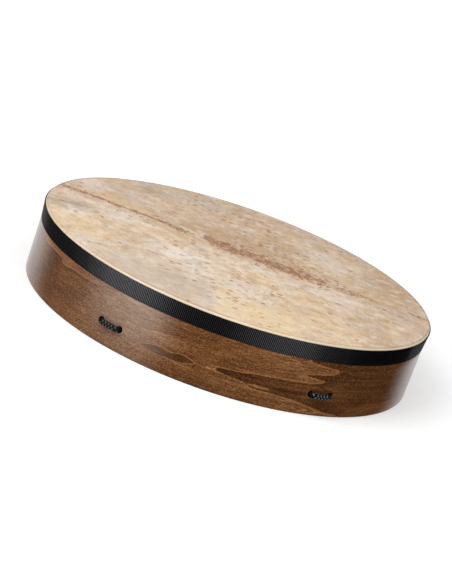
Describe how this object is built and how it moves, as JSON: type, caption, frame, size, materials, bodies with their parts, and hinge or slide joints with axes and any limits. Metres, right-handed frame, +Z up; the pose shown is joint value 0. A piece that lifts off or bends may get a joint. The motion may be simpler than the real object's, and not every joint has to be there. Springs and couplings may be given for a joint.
{
  "type": "frame drum",
  "caption": "Round wooden frame drum with a goatskin head under a woven trim band, and a cord lacing inside that carries a hand-hold ring.",
  "frame": {"origin": "centre of the lower rim, in the plane that the drum rests on", "axes": "+Z up along the drum's axis, from the open side to the head; -Y towards the viewer of the picture, midway between two pairs of cord holes"},
  "size_m": [0.563, 0.563, 0.1016],
  "materials": {
    "stained_wood": "walnut stain under satin lacquer",
    "goatskin": "natural untreated skin, matte",
    "webbing": "black woven webbing, matte",
    "braided_cord": "black braided cord, matte",
    "staple_steel": "plain wire",
    "ring_wood": "oiled"
  },
  "bodies": {
    "frame": {"shell": "stained_wood", "head": "goatskin", "trim_band": "webbing", "staple_01": "staple_steel", "staple_02": "staple_steel", "staple_03": "staple_steel", "staple_04": "staple_steel", "staple_05": "staple_steel", "staple_06": "staple_steel", "staple_07": "staple_steel", "staple_08": "staple_steel", "staple_09": "staple_steel", "staple_10": "staple_steel", "staple_11": "staple_steel", "staple_12": "staple_steel", "staple_13": "staple_steel", "staple_14": "staple_steel", "staple_15": "staple_steel", "staple_16": "staple_steel", "staple_17": "staple_steel", "staple_18": "staple_steel", "staple_19": "staple_steel", "staple_20": "staple_steel", "staple_21": "staple_steel", "staple_22": "staple_steel", "staple_23": "staple_steel", "staple_24": "staple_steel", "cord_bridge_1": "braided_cord", "cord_bridge_2": "braided_cord", "cord_bridge_3": "braided_cord", "cord_bridge_4": "braided_cord", "cord_vee_1": "braided_cord", "cord_vee_2": "braided_cord", "cord_vee_3": "braided_cord", "cord_vee_4": "braided_cord", "lacing_knot": "braided_cord"},
    "grip": {"grip_ring": "ring_wood"}
  },
  "joints": [
    {"name": "grip_pull", "type": "slide", "parent": "frame", "child": "grip", "axis": [0, 0, 1], "range_m": [-0.012, 0.012], "stiffness_N_per_m": 2000, "deforming": ["cord_vee_1", "cord_vee_2", "cord_vee_3", "cord_vee_4"]}
  ]
}
